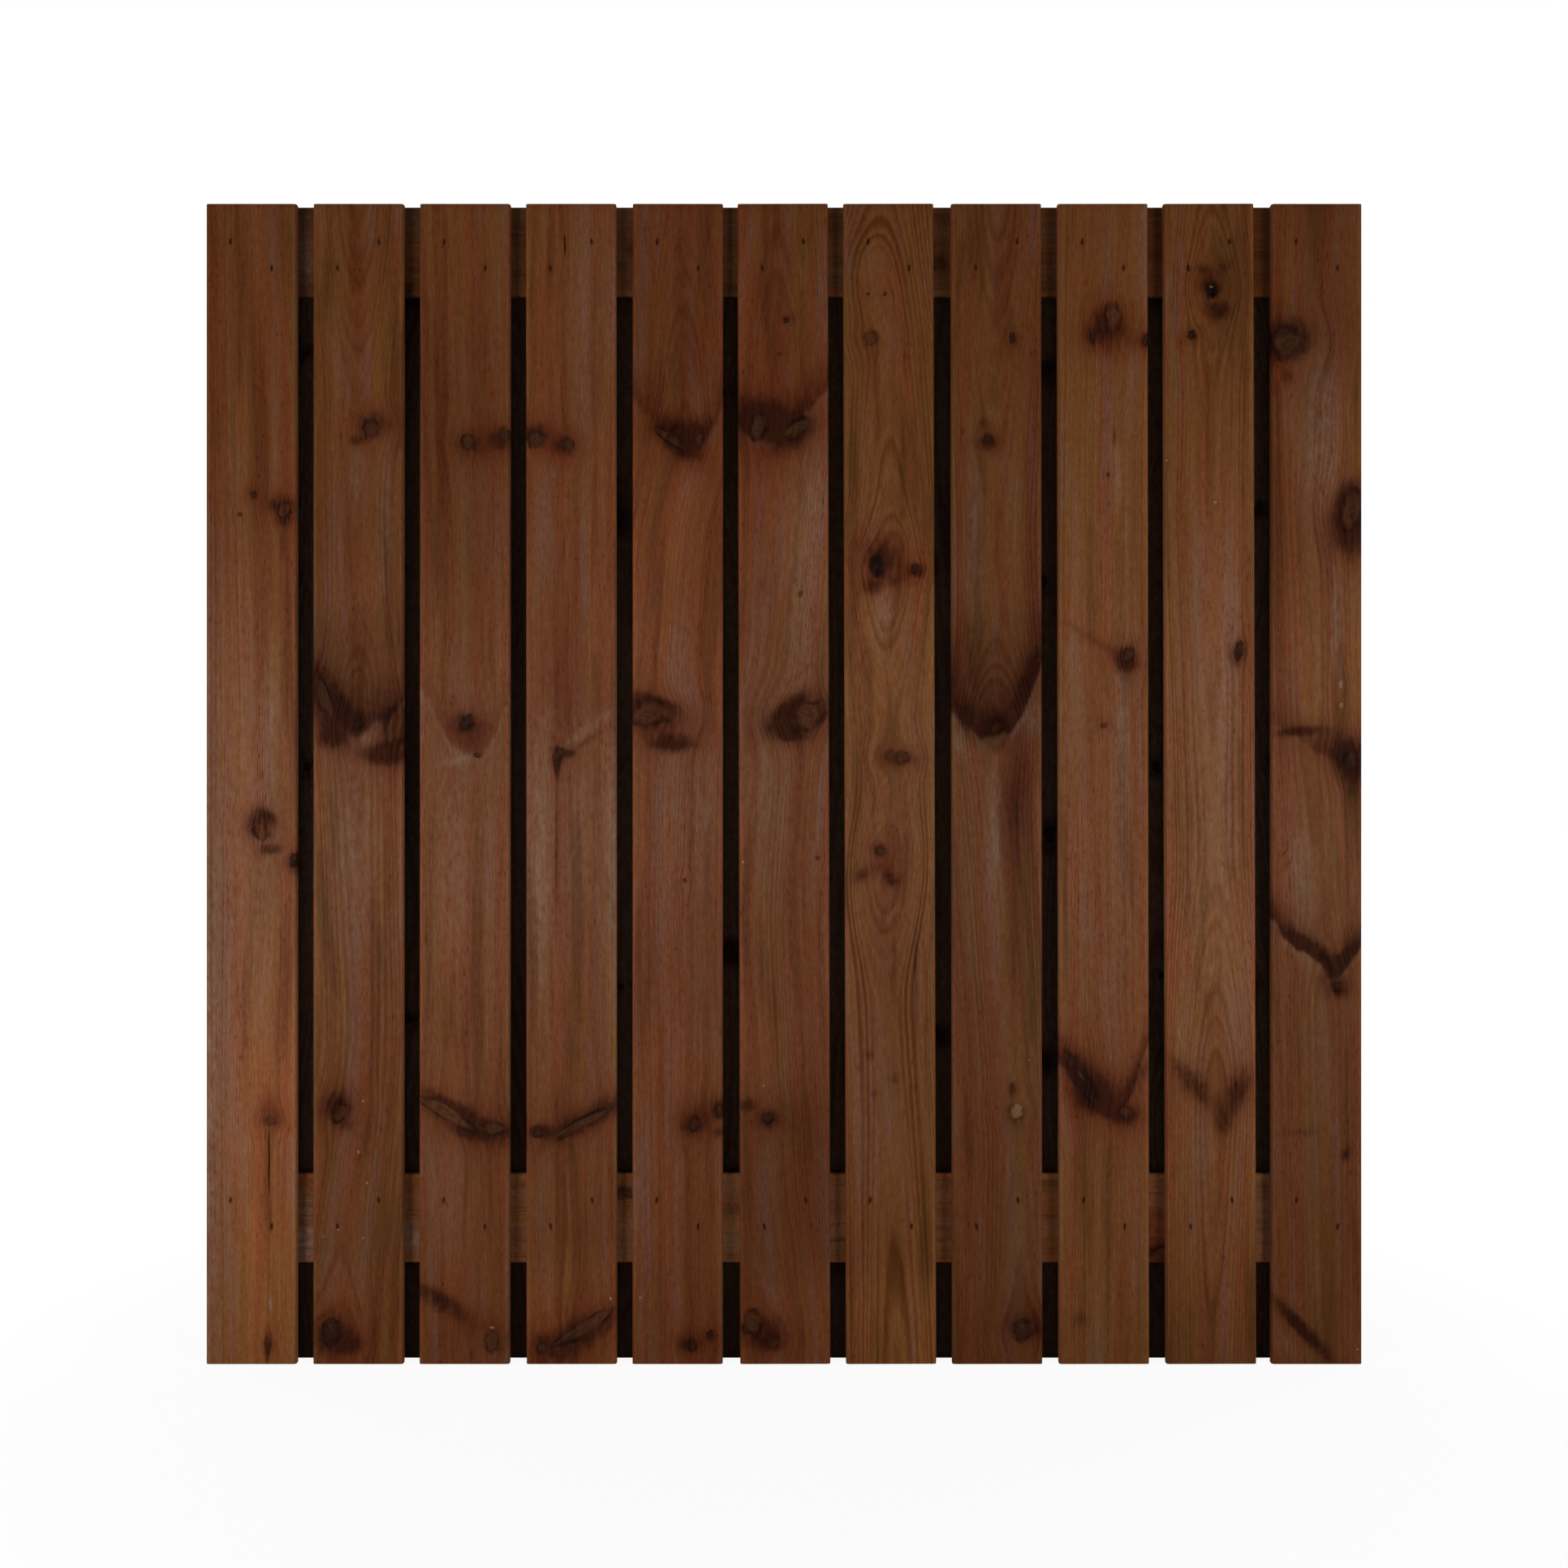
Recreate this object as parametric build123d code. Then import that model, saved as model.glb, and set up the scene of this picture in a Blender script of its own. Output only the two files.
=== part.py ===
from build123d import *
import os
from math import atan2, cos, degrees, sin

# A garden fence panel of planed, brown-treated pine, to stand between two posts.
# Two horizontal rails carry eleven upright boards on the front and ten on the back.
# The back boards stand behind the gaps of the front ones and lap them on both sides,
# so wind passes but the eye doesn't. Every crossing of board and rail has two nails.
# X runs across the panel, -Y is the front, +Z is up.
# The origin is the middle of the panel's foot. All sizes are in millimetres.

# Boards, all planed to one section with rounded long edges
BOARD_LENGTH = 1800.0
BOARD_WIDTH = 140.0
BOARD_THICKNESS = 15.0
BOARD_EDGE_RADIUS = 4.0
END_EASE = 0.8
FRONT_BOARD_COUNT = 11
BOARD_GAP = 25.3

# Rails, lying between the two layers of boards
RAIL_WIDTH = 140.0
RAIL_THICKNESS = 15.0
RAIL_EDGE_RADIUS = 4.0
BOTTOM_RAIL_CLEARANCE = 153.0

# How far the inner front boards are nailed off their even places, left to right,
# measured to the right at the top end and at the foot
TOP_DRIFT = (1.0, 1.0, 0.0, 0.5, -2.0, -3.5, -1.5, -1.5, -2.5)
FOOT_DRIFT = (0.5, 0.0, 1.0, 0.0, 2.0, 1.0, 0.5, 1.0, 2.0)

# Nails, two to a crossing, set slantwise and turned about from board to board
NAIL_HEAD_DIAMETER = 3.6
NAIL_HEAD_THICKNESS = 1.2
NAIL_SHANK_DIAMETER = 2.1
NAIL_POINT_LENGTH = 3.5
NAIL_SINK = 1.2
NAIL_POINT_COVER = 2.0
NAIL_HOLE_CLEARANCE = 0.05
NAIL_TEAR_WIDTH = 4.2
NAIL_TEAR_LENGTH = 9.5
NAIL_SPREAD = 64.0
NAIL_RISE = 41.0
TOP_RAIL_NAIL_LINE = 61.0
BOTTOM_RAIL_NAIL_LINE = 81.0

# Drying checks: open cracks along the grain, on the first and the fourth front board
CHECK_DEPTH = 5.0
LONG_CHECK_LENGTH = 104.0
LONG_CHECK_WIDTH = 2.6
LONG_CHECK_ACROSS = 28.0
LONG_CHECK_ABOVE_FOOT = 314.0
SHORT_CHECK_LENGTH = 34.0
SHORT_CHECK_WIDTH = 2.4
SHORT_CHECK_ACROSS = -9.5
SHORT_CHECK_BELOW_TOP = 64.0

# Open knots: hollows where the heart of a knot fell out, on the seventh and the tenth board
TALL_HOLLOW_LENGTH = 30.0
TALL_HOLLOW_DEPTH = 5.5
TALL_HOLLOW_ACROSS = -18.0
TALL_HOLLOW_BELOW_TOP = 562.0
SHORT_HOLLOW_LENGTH = 20.0
SHORT_HOLLOW_DEPTH = 6.0
SHORT_HOLLOW_ACROSS = 6.0
SHORT_HOLLOW_BELOW_TOP = 134.0

# Worked out from the sizes above
BOARD_PITCH = BOARD_WIDTH + BOARD_GAP
PANEL_WIDTH = FRONT_BOARD_COUNT * BOARD_PITCH - BOARD_GAP
REAR_BOARD_COUNT = FRONT_BOARD_COUNT - 1
FRONT_FACE_Y = -(RAIL_THICKNESS / 2 + BOARD_THICKNESS)
REAR_FACE_Y = RAIL_THICKNESS / 2 + BOARD_THICKNESS
FRONT_BOARD_Y = -(RAIL_THICKNESS + BOARD_THICKNESS) / 2
REAR_BOARD_Y = (RAIL_THICKNESS + BOARD_THICKNESS) / 2
NAIL_LENGTH = BOARD_THICKNESS + RAIL_THICKNESS - NAIL_POINT_COVER - NAIL_SINK
RAIL_FOOT = {"top_rail": BOARD_LENGTH - RAIL_WIDTH, "bottom_rail": BOTTOM_RAIL_CLEARANCE}
NAIL_LINE = {
    "top_rail": RAIL_FOOT["top_rail"] + TOP_RAIL_NAIL_LINE,
    "bottom_rail": RAIL_FOOT["bottom_rail"] + BOTTOM_RAIL_NAIL_LINE,
}


def front_board_drift(number):
    """Sideways drift of a front board at its top and foot. The two outer boards end flush with the rails."""
    if number in (1, FRONT_BOARD_COUNT):
        return 0.0, 0.0
    place = (number - 2) % len(TOP_DRIFT)
    return TOP_DRIFT[place], FOOT_DRIFT[place]


def front_board_lean(number):
    """Angle in radians by which a front board leans to the right."""
    top, foot = front_board_drift(number)
    return atan2(top - foot, BOARD_LENGTH)


def front_board_middle(number, height=0.0):
    """X of a front board's middle line at a height above the foot."""
    top, foot = front_board_drift(number)
    even_place = (number - (FRONT_BOARD_COUNT + 1) / 2) * BOARD_PITCH
    return even_place + foot + (top - foot) * height / BOARD_LENGTH


def rear_board_middle(number):
    """X of a rear board's middle line, behind the gap between two front boards."""
    return (number - (REAR_BOARD_COUNT + 1) / 2) * BOARD_PITCH


def planed_board(length, width, thickness, edge_radius):
    """A board standing on its end: rounded long edges, and ends that are just eased."""
    board = extrude(RectangleRounded(width, thickness, edge_radius), length)
    ends = board.faces().filter_by(Axis.Z)
    return chamfer(ends.edges(), END_EASE)


def nail():
    """A nail driven along +Y through a face at Y = 0: flat head, round shank, tapered point."""
    head_radius = NAIL_HEAD_DIAMETER / 2
    shank_radius = NAIL_SHANK_DIAMETER / 2
    head_foot = NAIL_SINK + NAIL_HEAD_THICKNESS
    tip = NAIL_SINK + NAIL_LENGTH
    outline = Polyline(
        (0, NAIL_SINK),
        (head_radius, NAIL_SINK),
        (head_radius, head_foot),
        (shank_radius, head_foot),
        (shank_radius, tip - NAIL_POINT_LENGTH),
        (0, tip),
        close=True,
    )
    return revolve(make_face(outline), Axis.Y)


def nail_hole():
    """What a nail takes out of the wood: its own shape with clearance, and the fibres torn along the grain."""
    head_radius = NAIL_HEAD_DIAMETER / 2 + NAIL_HOLE_CLEARANCE
    shank_radius = NAIL_SHANK_DIAMETER / 2 + NAIL_HOLE_CLEARANCE
    head_foot = NAIL_SINK + NAIL_HEAD_THICKNESS
    tip = NAIL_SINK + NAIL_LENGTH + NAIL_HOLE_CLEARANCE
    outline = Polyline(
        (0, 0),
        (head_radius, 0),
        (head_radius, head_foot),
        (shank_radius, head_foot),
        (shank_radius, tip - NAIL_POINT_LENGTH),
        (0, tip),
        close=True,
    )
    drilled = revolve(make_face(outline), Axis.Y)
    board_face = Plane(origin=(0, 0, 0), x_dir=(1, 0, 0), z_dir=(0, 1, 0))
    tear = extrude(board_face * Ellipse(NAIL_TEAR_WIDTH / 2, NAIL_TEAR_LENGTH / 2), NAIL_SINK)
    return drilled + tear


def drying_check(length, width, depth):
    """A crack along Z, cut along +Y from a face at Y = 0: a slender lens of even depth."""
    lens = make_face(
        [
            ThreePointArc((0, -length / 2), (width / 2, 0), (0, length / 2)),
            ThreePointArc((0, length / 2), (-width / 2, 0), (0, -length / 2)),
        ]
    )
    board_face = Plane(origin=(0, 0, 0), x_dir=(1, 0, 0), z_dir=(0, 1, 0))
    return extrude(board_face * lens, depth)


def knot_hollow(length, depth):
    """A fallen-out knot heart: a spindle with its axis along Z, half of it in the wood."""
    side = ThreePointArc((0, -length / 2), (depth, 0), (0, length / 2))
    axis = Line((0, length / 2), (0, -length / 2))
    spindle = revolve(make_face([side, axis]), Axis.Y)
    return Rot(90, 0, 0) * spindle


def nail_places(middle_at, number):
    """(rail, x, z) of the nails of one board. Odd boards have the upper nail on the left, even ones on the right."""
    upper_side = -1 if number % 2 else 1
    places = []
    for rail, line in NAIL_LINE.items():
        for level in (1, -1):
            height = line + level * NAIL_RISE / 2
            across = upper_side * level * NAIL_SPREAD / 2
            places.append((rail, middle_at(height) + across, height))
    return places


def front_nail_places(number):
    return nail_places(lambda height: front_board_middle(number, height), number)


def rear_nail_places(number):
    return nail_places(lambda height: rear_board_middle(number), number)


def from_front(shape, x, z):
    """Puts a shape that is driven along +Y at a place on the panel's front."""
    return Pos(x, FRONT_FACE_Y, z) * shape


def from_rear(shape, x, z):
    """The same at the panel's back, driven towards the front."""
    return Pos(x, REAR_FACE_Y, z) * Rot(0, 0, 180) * shape


def natural_faults(number):
    """Cracks and hollows of one front board, placed on the panel."""
    if number == 1:
        height = LONG_CHECK_ABOVE_FOOT
        crack = drying_check(LONG_CHECK_LENGTH, LONG_CHECK_WIDTH, CHECK_DEPTH)
        return [from_front(crack, front_board_middle(number, height) + LONG_CHECK_ACROSS, height)]
    if number == 4:
        height = BOARD_LENGTH - SHORT_CHECK_BELOW_TOP
        crack = drying_check(SHORT_CHECK_LENGTH, SHORT_CHECK_WIDTH, CHECK_DEPTH)
        return [from_front(crack, front_board_middle(number, height) + SHORT_CHECK_ACROSS, height)]
    if number == 7:
        height = BOARD_LENGTH - TALL_HOLLOW_BELOW_TOP
        hollow = knot_hollow(TALL_HOLLOW_LENGTH, TALL_HOLLOW_DEPTH)
        return [from_front(hollow, front_board_middle(number, height) + TALL_HOLLOW_ACROSS, height)]
    if number == 10:
        height = BOARD_LENGTH - SHORT_HOLLOW_BELOW_TOP
        hollow = knot_hollow(SHORT_HOLLOW_LENGTH, SHORT_HOLLOW_DEPTH)
        return [from_front(hollow, front_board_middle(number, height) + SHORT_HOLLOW_ACROSS, height)]
    return []


def front_board(number):
    """One front board at its place: leaning as it was nailed, its lower corner on the ground."""
    lean = front_board_lean(number)
    lift = BOARD_WIDTH / 2 * abs(sin(lean))
    board = planed_board(BOARD_LENGTH, BOARD_WIDTH, BOARD_THICKNESS, BOARD_EDGE_RADIUS)
    board = Pos(front_board_middle(number), FRONT_BOARD_Y, lift) * Rot(0, degrees(lean), 0) * board
    holes = [from_front(nail_hole(), x, z) for _, x, z in front_nail_places(number)]
    return board - holes - natural_faults(number)


def rear_board(number):
    """One rear board at its place behind a gap."""
    board = planed_board(BOARD_LENGTH, BOARD_WIDTH, BOARD_THICKNESS, BOARD_EDGE_RADIUS)
    board = Pos(rear_board_middle(number), REAR_BOARD_Y, 0) * board
    return board - [from_rear(nail_hole(), x, z) for _, x, z in rear_nail_places(number)]


def rail(name):
    """One rail, as long as the panel is wide, with the holes of every nail that ends in it."""
    board = planed_board(PANEL_WIDTH, RAIL_WIDTH, RAIL_THICKNESS, RAIL_EDGE_RADIUS)
    lying = Rot(0, 90, 0) * board
    board = Pos(-PANEL_WIDTH / 2, 0, RAIL_FOOT[name] + RAIL_WIDTH / 2) * lying
    holes = [from_front(nail_hole(), x, z) for x, z in nails_in(name, front_nail_places, FRONT_BOARD_COUNT)]
    holes += [from_rear(nail_hole(), x, z) for x, z in nails_in(name, rear_nail_places, REAR_BOARD_COUNT)]
    return board - holes


def nails_in(name, places_of, count):
    """(x, z) of the nails that one layer of boards has in one rail."""
    return [(x, z) for number in range(1, count + 1) for rail_name, x, z in places_of(number) if rail_name == name]


def nail_row(name, place, places_of, count):
    """The nails of one layer of boards in one rail, as a group of separate solids."""
    return Compound([place(nail(), x, z) for x, z in nails_in(name, places_of, count)])


def write(shape, node):
    export_step(shape, f"parts/{node}.step")


os.makedirs("parts", exist_ok=True)
for number in range(1, FRONT_BOARD_COUNT + 1):
    write(front_board(number), f"front_board_{number:02d}")
for number in range(1, REAR_BOARD_COUNT + 1):
    write(rear_board(number), f"rear_board_{number:02d}")
for name in RAIL_FOOT:
    write(rail(name), name)
    write(nail_row(name, from_front, front_nail_places, FRONT_BOARD_COUNT), f"{name}_front_nails")
    write(nail_row(name, from_rear, rear_nail_places, REAR_BOARD_COUNT), f"{name}_rear_nails")
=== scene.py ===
from collections import namedtuple

import bpy
import numpy as np
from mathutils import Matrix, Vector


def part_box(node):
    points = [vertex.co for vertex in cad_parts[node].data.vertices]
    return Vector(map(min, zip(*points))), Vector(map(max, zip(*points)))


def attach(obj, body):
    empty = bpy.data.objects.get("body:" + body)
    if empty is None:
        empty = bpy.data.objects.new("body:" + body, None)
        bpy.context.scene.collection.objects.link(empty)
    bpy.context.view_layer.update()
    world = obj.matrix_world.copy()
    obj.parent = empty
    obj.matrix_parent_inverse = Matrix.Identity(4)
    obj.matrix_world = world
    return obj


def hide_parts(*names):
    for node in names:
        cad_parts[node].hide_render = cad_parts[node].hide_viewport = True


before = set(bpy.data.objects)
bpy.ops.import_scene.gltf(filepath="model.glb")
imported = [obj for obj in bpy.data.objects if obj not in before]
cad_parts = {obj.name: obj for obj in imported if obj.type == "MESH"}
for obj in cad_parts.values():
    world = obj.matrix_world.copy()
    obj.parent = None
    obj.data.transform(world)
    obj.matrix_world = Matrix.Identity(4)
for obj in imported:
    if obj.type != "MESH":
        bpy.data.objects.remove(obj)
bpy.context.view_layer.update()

# The two rails. Planed pine, 140 mm high and 15 mm thick, soaked in brown preservative.
# They lie between the two layers of boards, and each board is nailed to both of them.
MM = 0.001
PLANK_THICKNESS = 15.0
EDGE_RADIUS = 4.0
END_EASE = 0.8
PANEL_HALF_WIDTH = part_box("top_rail")[1][0] / MM
RAIL_WIDTH = (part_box("top_rail")[1][2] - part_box("top_rail")[0][2]) / MM
RAIL_FOOT = {name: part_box(name)[0][2] / MM for name in ("top_rail", "bottom_rail")}

# A knot is an ellipse on the plank: where it is, how wide and long, its tilt in degrees,
# how dark its heart is and how strong the dark ring of resin round it
Knot = namedtuple("Knot", "across along width length tilt heart halo", defaults=(0, 0.6, 0.6))
# A stain is a soft spot in the colour: dark, red, or pale, where the pale part is mostly a painted sheen
Stain = namedtuple("Stain", "across along width length tilt dark red pale", defaults=(0, 0.5, 0.0, 0.0))
# An open fault is a hollow or a crack: its depth falls from the middle to the edge
Fault = namedtuple("Fault", "across along width length depth")
# A patch is a broad part of the plank that is lighter, or darker where light is below 0
Patch = namedtuple("Patch", "across along width length light")
# A cup is the dark wood above a whorl of knots. Its lower edge is sharp, with a pale lip below it, and
# rises by left_rise and right_rise at CUP_HALF_WIDTH to each side of its lowest point. Upwards it fades
CUP_HALF_WIDTH = 70.0
Cup = namedtuple("Cup", "across along left_rise right_rise bend height dark red pale")
# What one plank is sawn from. The heart line gives (along, across, depth) of the tree's middle, and ring
# is the width of a year's growth. Contrast is how dark the growth lines are, and light where it is below 0
Wood = namedtuple(
    "Wood", "heart_line ring tone warmth contrast knots stains patches cups", defaults=((),) * 4)


def stations(start, end, coarse, fine_spots):
    """Places from start to end, coarse steps apart, closer near each (place, reach, step) spot.
    The wanted step grows by a third of the distance from a spot, and its inverse is summed up
    and read back at even counts."""
    places = np.linspace(start, end, 6001)
    wanted = np.full_like(places, coarse)
    for place, reach, step in fine_spots:
        distance = np.maximum(np.abs(places - place) - reach, 0)
        wanted = np.minimum(wanted, step + distance / 3)
    count = np.concatenate([[0], np.cumsum(np.diff(places) / wanted[1:])])
    return np.interp(np.linspace(0, count[-1], int(np.ceil(count[-1])) + 1), count, places)


def plank_profile(width, face_stations, back_steps):
    """Closed outline of a plank's section, anticlockwise: (across, depth) with depth 0 on the good face.
    The flat faces end in quarter circles of the edge radius."""
    half = width / 2
    quarter = np.radians(np.linspace(0, 90, 5))[1:-1]
    inner = half - EDGE_RADIUS
    deep = PLANK_THICKNESS
    corner = inner + EDGE_RADIUS * np.sin(quarter)
    corner_depth = EDGE_RADIUS * (1 - np.cos(quarter))
    stretches = [
        (face_stations, np.zeros_like(face_stations)),
        (corner, corner_depth),
        (np.array([half, half]), np.array([EDGE_RADIUS, deep - EDGE_RADIUS])),
        (corner[::-1], deep - corner_depth[::-1]),
        (np.linspace(inner, -inner, back_steps), np.full(back_steps, deep)),
        (-corner, deep - corner_depth),
        (np.array([-half, -half]), np.array([deep - EDGE_RADIUS, EDGE_RADIUS])),
        (-corner[::-1], corner_depth[::-1]),
    ]
    return np.concatenate([s[0] for s in stretches]), np.concatenate([s[1] for s in stretches])


SMOOTH_LENGTH = 120.0


def smooth_line(points, along, column):
    """A value along the plank, straight between the given points and then averaged over SMOOTH_LENGTH."""
    points = np.array(points, dtype=float)
    shifts = np.linspace(-SMOOTH_LENGTH / 2, SMOOTH_LENGTH / 2, 13)
    values = [np.interp(along + shift, points[:, 0], points[:, column]) for shift in shifts]
    return np.mean(values, axis=0)


def in_ellipse(spot, across, along):
    """Place in a tilted ellipse's own measure: a distance of 1 from its middle is its edge."""
    angle = np.radians(spot.tilt)
    side = across - spot.across
    rise = along - spot.along
    u = (side * np.cos(angle) - rise * np.sin(angle)) / (spot.width / 2)
    v = (side * np.sin(angle) + rise * np.cos(angle)) / (spot.length / 2)
    return u, v


FIBRE_LENGTH = 100.0
STRETCH_APART = 25.0


def growth_place(wood, across, depth, along, number):
    """Where a point of the plank was in the tree, counted in years of growth from the heart line.
    Grain parts round each knot: near it the across measure is squeezed towards the knot's middle.
    Each plank's number takes its fibres from another stretch of the tree, STRETCH_APART on."""
    flow = across.copy()
    for knot in wood.knots:
        reach = 1.1 * knot.width + 6
        side = across - knot.across
        rise = along - knot.along
        pull = np.exp(-(side / reach) ** 2 - (rise / (0.8 * knot.length + 10)) ** 2)
        flow -= 0.75 * side * pull
    u = (flow - smooth_line(wood.heart_line, along, 1)) / wood.ring
    v = (smooth_line(wood.heart_line, along, 2) + depth) / wood.ring
    return np.stack([u, v, along / FIBRE_LENGTH + STRETCH_APART * number], axis=-1)


CUP_EDGE = 7.0
LIP_BELOW = 12.0
LIP_HALF_WIDTH = 9.0


def stain_and_sheen_at(wood, across, along):
    """Sum of the soft spots at a point: each falls off as a bell curve from its middle, and so does
    a knot's dark and red halo, which lies a little to one side of the knot. A cup's darkness is
    a bell curve of the height over its wavy lower edge, CUP_EDGE long below the edge, and its lip
    is one round the line that lies LIP_BELOW under the edge."""
    total = np.zeros(across.shape + (3,))
    for knot in wood.knots:
        u, v = in_ellipse(knot, across, along)
        lean_u = 0.5 * np.sin(1.7 * knot.across + knot.along)
        lean_v = 0.6 * np.sin(0.9 * knot.across - 2.3 * knot.along)
        distance = np.hypot((u - lean_u) / 1.4, v - lean_v)
        dark = 0.9 * np.exp(-0.55 * distance**2) + 0.1 * np.exp(-0.12 * distance**2)
        red = 0.9 * np.exp(-0.15 * distance**2)
        total += knot.halo * np.stack([dark, red, np.zeros_like(dark)], axis=-1)
    for stain in wood.stains:
        u, v = in_ellipse(stain, across, along)
        bell = np.exp(-1.2 * (u**2 + v**2))
        total += bell[..., None] * np.array([stain.dark, stain.red, stain.pale])
    for cup in wood.cups:
        side = across - cup.across
        rise = np.where(side < 0, cup.left_rise, cup.right_rise)
        waves = 4 * np.sin(side / 9 + cup.along) + 2.5 * np.sin(side / 3.7 + 2 * cup.along)
        above = along - cup.along - rise * (np.abs(side) / CUP_HALF_WIDTH) ** cup.bend + waves
        fade = np.where(above > 0, cup.height, CUP_EDGE)
        bowl = np.exp(-((above / fade) ** 2))
        lip = np.exp(-(((above + LIP_BELOW) / LIP_HALF_WIDTH) ** 2))
        total += np.stack([cup.dark * bowl, cup.red * bowl, cup.pale * lip], axis=-1)
    return total


NO_KNOT = 8.0


def nearest_knot(wood, across, along, middle_across, middle_along):
    """Place in the nearest knot's ellipse for the corners of each face, chosen by the face's middle.
    A face that lies NO_KNOT or more from every knot, in the ellipses' own measure, has none."""
    place = np.full(across.shape + (3,), NO_KNOT + 1.0)
    kind = np.zeros(across.shape + (3,))
    nearest = np.full(middle_across.shape, NO_KNOT)
    for number, knot in enumerate(wood.knots):
        u, v = in_ellipse(knot, middle_across, middle_along)
        distance = np.hypot(u, v)
        chosen = distance < nearest
        nearest = np.where(chosen, distance, nearest)
        corner_u, corner_v = in_ellipse(knot, across[chosen], along[chosen])
        place[chosen] = np.stack([corner_u, corner_v, np.full_like(corner_u, number * 3.7)], axis=-1)
        kind[chosen] = (knot.heart, knot.halo, 0)
    return place, kind


# A plank is painted palest, with a grey painted sheen, a little below its middle, and painted shade darkens
# it towards its ends
PAINTED_LIGHT_MIDDLE = 0.44
PAINTED_SHEEN_REACH = 0.26
MIDDLE_PAINTED_SHEEN = 0.13
FOOT_PAINTED_SHADE = 0.27
TOP_PAINTED_SHADE = 0.17
# Each rounded long edge is lighter: a painted highlight, partly over stain rubbed thinner there
EDGE_PAINTED_HIGHLIGHT = 0.2
EDGE_HIGHLIGHT_PLACE = 67.0
EDGE_HIGHLIGHT_HALF_WIDTH = 2.5
# The inner face, which lies towards the other layer of boards, is painted duller and greyer: painted shade
# between the two layers
INNER_PAINTED_GREY_SHADE = 0.7
INNER_PAINTED_SHADE = 0.5


def brightness_at(wood, across, along, length):
    """The plank's tone, less by painted shade that grows by the 1.5th power of the way from its palest part
    to each end, times 1 and the bell curve of each long edge, a painted highlight partly over stain rubbed
    thinner, and of each patch."""
    way = along / length - PAINTED_LIGHT_MIDDLE
    below = FOOT_PAINTED_SHADE * (np.clip(-way, 0, None) / PAINTED_LIGHT_MIDDLE) ** 1.5
    above = TOP_PAINTED_SHADE * (np.clip(way, 0, None) / (1 - PAINTED_LIGHT_MIDDLE)) ** 1.5
    edge = (np.abs(across) - EDGE_HIGHLIGHT_PLACE) / EDGE_HIGHLIGHT_HALF_WIDTH
    total = wood.tone * (1 - below - above) * (1 + EDGE_PAINTED_HIGHLIGHT * np.exp(-(edge**2)))
    for patch in wood.patches:
        u = 2 * (across - patch.across) / patch.width
        v = 2 * (along - patch.along) / patch.length
        total *= 1 + patch.light * np.exp(-(u**2) - v**4)
    return total


NAIL_MARK_SIZE = (4.5, 11.0)
NAIL_TEAR_HALF_WIDTH = 2.1
NAIL_TEAR_HALF_LENGTH = 4.75
NAIL_TEAR_DEPTH = 1.3


def relief(across, along, nails, faults):
    """How deep the good face lies below its plane: torn lens at each nail, hollows and cracks."""
    depth = np.zeros_like(across)
    for nail_across, nail_along in nails:
        side = (across - nail_across) / NAIL_TEAR_HALF_WIDTH
        rise = (along - nail_along) / NAIL_TEAR_HALF_LENGTH
        lens = np.hypot(side, rise)
        depth = np.maximum(depth, NAIL_TEAR_DEPTH * np.clip(3.0 - 3.0 * lens, 0, 1))
    for fault in faults:
        end = np.clip(1 - ((along - fault.along) / (fault.length / 2)) ** 2, 0, 1)
        wander = 0.3 * np.sin(along / 7.0) * (fault.length > 3 * fault.width)
        side = np.abs(across - fault.across - wander) / (fault.width / 2 * np.sqrt(end) + 1e-6)
        depth = np.maximum(depth, fault.depth * np.sqrt(end) * np.clip(1.3 * (1 - side**2), 0, 1))
    return depth


# How far the mesh is finer round a nail and above a cup, and how fine it is there
NAIL_ACROSS = (2.5, 1.0)
NAIL_ALONG = (5.0, 1.3)
CUP_ALONG = (60.0, 3.0)
SMALLEST_FINE_KNOT = 9.0


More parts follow.
